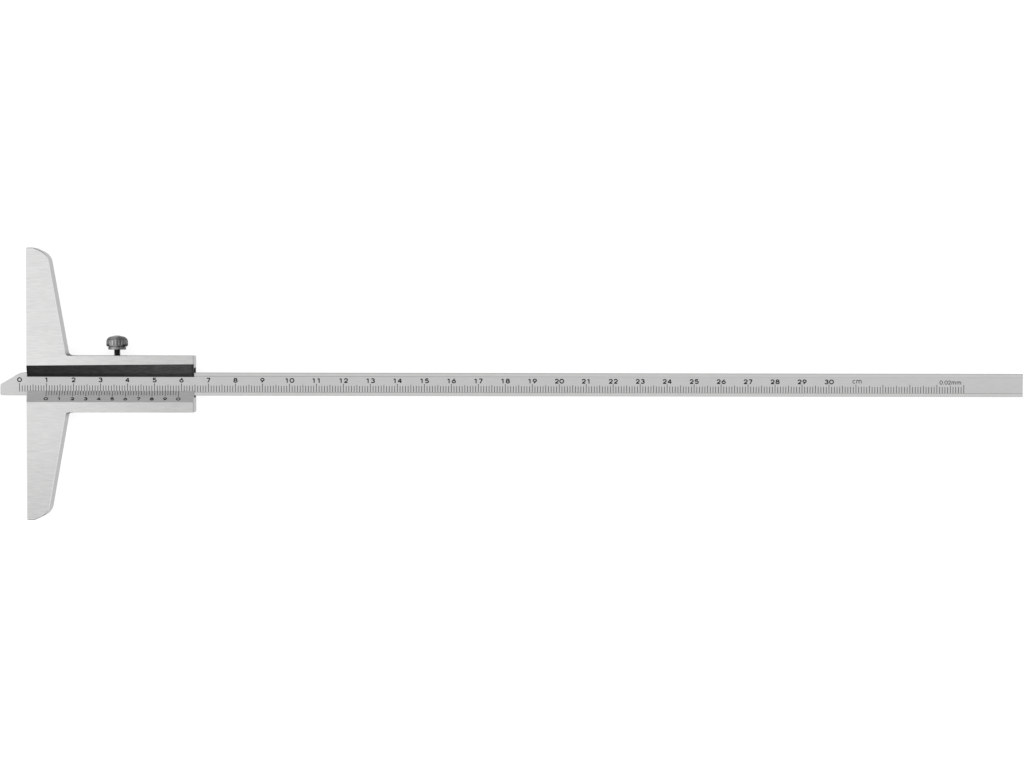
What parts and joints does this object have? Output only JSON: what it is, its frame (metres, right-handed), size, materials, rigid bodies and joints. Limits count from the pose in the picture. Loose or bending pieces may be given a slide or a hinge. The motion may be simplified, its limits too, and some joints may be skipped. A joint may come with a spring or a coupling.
{
  "type": "depth gauge",
  "caption": "Vernier depth gauge: a T-shaped steel base and slider, a long narrow graduated beam with an angled tip, and a knurled clamp screw.",
  "frame": {"origin": "centre of the base's measuring face, on the beam's centre line, at mid thickness", "axes": "+X back along the beam, away from the work; +Y across, towards the clamp screw; +Z out of the graduated front, so the gauge lies on its back"},
  "size_m": [0.379, 0.1008, 0.008],
  "materials": {
    "frame_steel": "ground and satin chromed, with a blackened upper bevel",
    "beam_steel": "satin chromed, with a black-filled engraved scale",
    "spring_bronze": "rolled phosphor bronze strip",
    "pad_brass": "turned",
    "blackened_steel": "turned, knurled and blackened, rubbed bright on the knurl"
  },
  "bodies": {
    "frame": {"frame_body": "frame_steel", "leaf_spring": "spring_bronze"},
    "beam": {"beam": "beam_steel"},
    "clamp_pad": {"clamp_pad": "pad_brass"},
    "clamp_screw": {"clamp_screw": "blackened_steel"}
  },
  "joints": [
    {"name": "beam_slide", "type": "slide", "parent": "frame", "child": "beam", "axis": [-1, 0, 0], "range_m": [-0.01, 0.29]},
    {"name": "clamp_travel", "type": "slide", "parent": "frame", "child": "clamp_pad", "axis": [0, 1, 0], "range_m": [0, 0.00135]},
    {"name": "clamp_turn", "type": "hinge", "parent": "clamp_pad", "child": "clamp_screw", "pos_m": [0.033, 0, 0], "axis": [0, 1, 0], "range_deg": [0, 1080]}
  ],
  "couplings": [
    {"joint": "clamp_turn", "follows": "clamp_travel", "rad_per_m": 13963}
  ]
}
